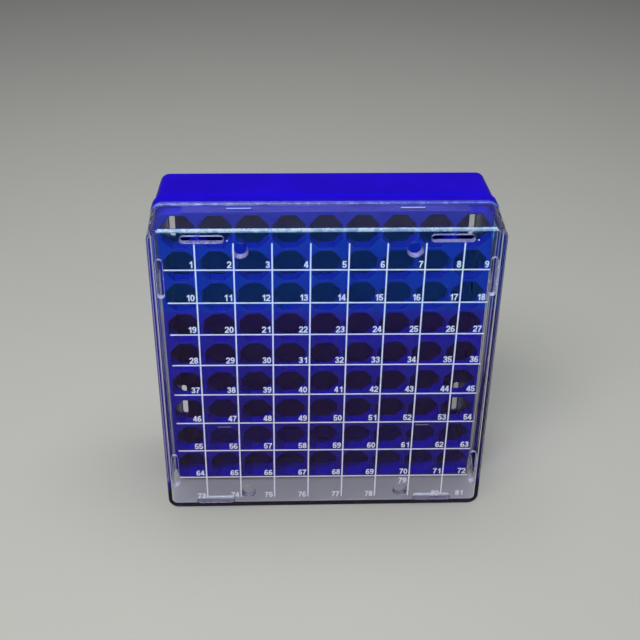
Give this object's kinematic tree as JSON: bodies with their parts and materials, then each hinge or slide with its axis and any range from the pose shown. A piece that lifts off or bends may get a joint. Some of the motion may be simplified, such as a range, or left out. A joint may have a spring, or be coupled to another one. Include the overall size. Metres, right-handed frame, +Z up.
{
  "type": "vial storage box",
  "caption": "Square two-part storage box with a clear lift-off lid, a tray base and an octagonal cell grid insert that holds small vials upright.",
  "frame": {"origin": "middle of the bottom of the box as it stands on its edge, at floor level", "axes": "+X to the right seen from the lid face, +Y from the lid face to the closed back of the base, +Z up"},
  "size_m": [0.132, 0.052, 0.132],
  "materials": {
    "blue_base": "satin moulded",
    "blue_grid": "satin moulded",
    "clear_lid": "clear polished"
  },
  "bodies": {
    "base": {"base": "blue_base", "cell_grid": "blue_grid"},
    "lid": {"lid": "clear_lid"}
  },
  "joints": [
    {"name": "lid_lift", "type": "slide", "parent": "base", "child": "lid", "axis": [0, -1, 0], "range_m": [0, 0.05]}
  ]
}
